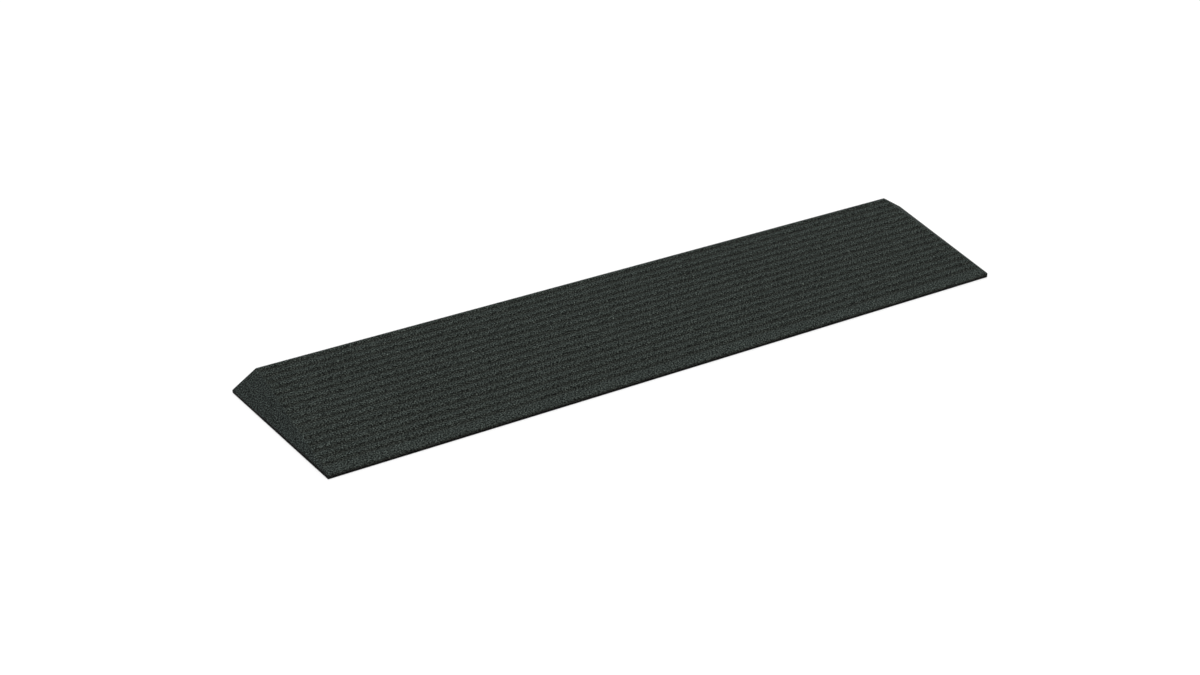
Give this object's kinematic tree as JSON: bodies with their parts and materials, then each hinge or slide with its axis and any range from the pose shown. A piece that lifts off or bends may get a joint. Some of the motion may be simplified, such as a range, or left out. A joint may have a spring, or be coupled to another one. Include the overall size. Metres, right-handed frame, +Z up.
{
  "type": "threshold ramp",
  "caption": "Low moulded rubber wedge with a ribbed slope and falling side wings that carries wheels over a raised door sill, held down by peel-off adhesive strips underneath.",
  "frame": {"origin": "on the floor, under the middle of the ramp's width and depth", "axes": "+X along the doorway, +Y up the slope from the low front lip to the upright face at the sill, +Z up"},
  "size_m": [0.969, 0.2164, 0.0239],
  "materials": {
    "crumb_rubber": "matte, granular, pressed from recycled rubber crumb",
    "adhesive_foam": "matte, closed-cell foam with a tacky face",
    "liner_film": "smooth silicone-coated film, satin"
  },
  "bodies": {
    "root": {"ramp_body": "crumb_rubber", "adhesive_strip_front_1": "adhesive_foam", "adhesive_strip_front_2": "adhesive_foam", "adhesive_strip_front_3": "adhesive_foam", "adhesive_strip_front_4": "adhesive_foam", "adhesive_strip_rear_1": "adhesive_foam", "adhesive_strip_rear_2": "adhesive_foam", "adhesive_strip_rear_3": "adhesive_foam", "adhesive_strip_rear_4": "adhesive_foam", "release_liner_front_1": "liner_film", "release_liner_front_2": "liner_film", "release_liner_front_3": "liner_film", "release_liner_front_4": "liner_film", "release_liner_rear_1": "liner_film", "release_liner_rear_2": "liner_film", "release_liner_rear_3": "liner_film", "release_liner_rear_4": "liner_film"}
  },
  "joints": []
}
